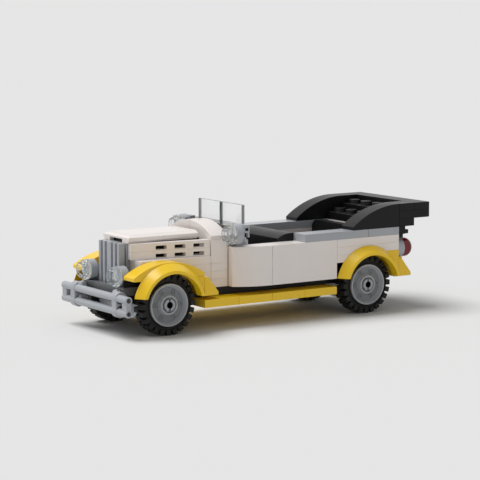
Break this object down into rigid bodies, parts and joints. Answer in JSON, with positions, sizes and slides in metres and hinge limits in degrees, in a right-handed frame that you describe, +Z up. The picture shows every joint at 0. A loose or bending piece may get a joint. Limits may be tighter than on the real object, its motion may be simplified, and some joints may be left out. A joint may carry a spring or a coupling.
{
  "type": "toy building-brick touring car",
  "caption": "Toy open touring car put together from moulded building bricks: white body, yellow fenders, folded black canopy, clear windscreen and four turning wheels.",
  "frame": {"origin": "on the ground under the middle of the car", "axes": "+X forwards, +Y to the left side of the car, +Z up"},
  "size_m": [0.1487, 0.056, 0.0478],
  "materials": {
    "white": "glossy moulded ABS",
    "yellow": "glossy moulded ABS",
    "black": "glossy moulded ABS",
    "light_grey": "glossy moulded ABS",
    "dark_grey": "glossy moulded ABS",
    "clear": "clear polycarbonate",
    "clear_red": "clear red polycarbonate",
    "tyre": "matt moulded rubber"
  },
  "bodies": {
    "car": {"apron": "dark_grey", "belt_tiles": "light_grey", "bonnet_core": "black", "bonnet_sides_lower": "white", "bonnet_sides_upper": "white", "bonnet_top_back": "white", "bonnet_top_front": "white", "bumper": "light_grey", "canopy_hinges": "black", "canopy_plate_low": "black", "canopy_plate_middle": "black", "canopy_plate_top": "black", "canopy_sides": "black", "cowl_base": "white", "cowl_top": "white", "dash": "light_grey", "floor_plate": "black", "front_axle_brick": "light_grey", "front_crowns": "yellow", "front_doors": "white", "front_fenders": "yellow", "front_lamp_drums": "light_grey", "front_lamp_lenses": "clear", "front_pins": "light_grey", "front_plates_one": "white", "front_plates_two": "white", "front_seat": "black", "front_wedges": "yellow", "grille": "light_grey", "lamp_bracket": "dark_grey", "lamp_holders": "light_grey", "rear_axle_brick": "light_grey", "rear_blocks": "yellow", "rear_doors": "white", "rear_fenders": "yellow", "rear_pins": "light_grey", "rear_seat": "black", "rear_side_plates_lower": "white", "rear_side_plates_upper": "white", "rear_wall": "white", "rear_wedges": "yellow", "recess_walls": "black", "running_boards": "yellow", "side_lamp_drums": "light_grey", "side_lamp_lenses": "clear", "side_walls": "white", "sill_plate": "black", "tail_lamp_drums": "light_grey", "tail_lamp_lenses": "clear_red", "tip_plates": "black", "windscreen": "clear"},
    "front_left_wheel": {"front_rim_left": "light_grey", "front_tyre_left": "tyre"},
    "front_right_wheel": {"front_rim_right": "light_grey", "front_tyre_right": "tyre"},
    "rear_left_wheel": {"rear_rim_left": "light_grey", "rear_tyre_left": "tyre"},
    "rear_right_wheel": {"rear_rim_right": "light_grey", "rear_tyre_right": "tyre"}
  },
  "joints": [
    {"name": "front_left_wheel_spin", "type": "hinge", "parent": "car", "child": "front_left_wheel", "pos_m": [0.0536, 0.02, 0.012], "axis": [0, 1, 0], "continuous": true},
    {"name": "front_right_wheel_spin", "type": "hinge", "parent": "car", "child": "front_right_wheel", "pos_m": [0.0536, -0.02, 0.012], "axis": [0, 1, 0], "continuous": true},
    {"name": "rear_left_wheel_spin", "type": "hinge", "parent": "car", "child": "rear_left_wheel", "pos_m": [-0.0424, 0.02, 0.012], "axis": [0, 1, 0], "continuous": true},
    {"name": "rear_right_wheel_spin", "type": "hinge", "parent": "car", "child": "rear_right_wheel", "pos_m": [-0.0424, -0.02, 0.012], "axis": [0, 1, 0], "continuous": true}
  ]
}
